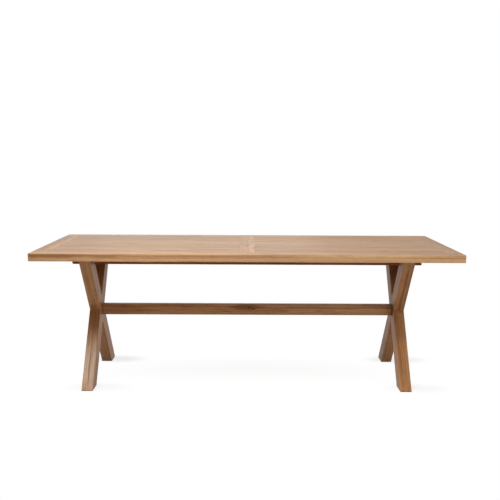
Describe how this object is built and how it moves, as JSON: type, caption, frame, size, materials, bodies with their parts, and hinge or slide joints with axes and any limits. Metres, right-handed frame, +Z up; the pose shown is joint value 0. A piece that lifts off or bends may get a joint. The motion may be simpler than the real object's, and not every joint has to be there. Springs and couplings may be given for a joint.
{
  "type": "sawbuck table",
  "caption": "Rectangular dining table with a frame-and-board top on crossed-leg trestles joined by one stretcher.",
  "frame": {"origin": "on the floor, under the middle of the table top", "axes": "+X along the table to its right end, -Y to its front, +Z up"},
  "size_m": [2.2, 0.9, 0.75],
  "materials": {
    "stile_wood": "pale hardwood, satin",
    "rail_wood": "pale hardwood, satin",
    "board_wood": "pale hardwood, satin",
    "batten_wood": "plain hardwood, matt",
    "bearer_wood": "plain hardwood, matt",
    "leg_wood": "pale hardwood, satin",
    "stretcher_wood": "pale hardwood, satin",
    "steel": "zinc-plated steel"
  },
  "bodies": {
    "root": {"front_stile": "stile_wood", "back_stile": "stile_wood", "left_end_rail": "rail_wood", "right_end_rail": "rail_wood", "mid_rail": "rail_wood", "left_board_1": "board_wood", "left_board_2": "board_wood", "left_board_3": "board_wood", "left_board_4": "board_wood", "left_board_5": "board_wood", "left_board_6": "board_wood", "left_board_7": "board_wood", "left_board_8": "board_wood", "right_board_1": "board_wood", "right_board_2": "board_wood", "right_board_3": "board_wood", "right_board_4": "board_wood", "right_board_5": "board_wood", "right_board_6": "board_wood", "right_board_7": "board_wood", "right_board_8": "board_wood", "left_cleat": "batten_wood", "right_cleat": "batten_wood", "left_batten": "batten_wood", "centre_batten": "batten_wood", "right_batten": "batten_wood", "front_bearer": "bearer_wood", "back_bearer": "bearer_wood", "left_front_leg": "leg_wood", "left_back_leg": "leg_wood", "right_front_leg": "leg_wood", "right_back_leg": "leg_wood", "stretcher": "stretcher_wood", "stretcher_bolts": "steel", "bolt_washers": "steel", "barrel_nuts": "steel", "cleat_screws": "steel", "batten_screws": "steel", "bearer_screws": "steel"}
  },
  "joints": []
}
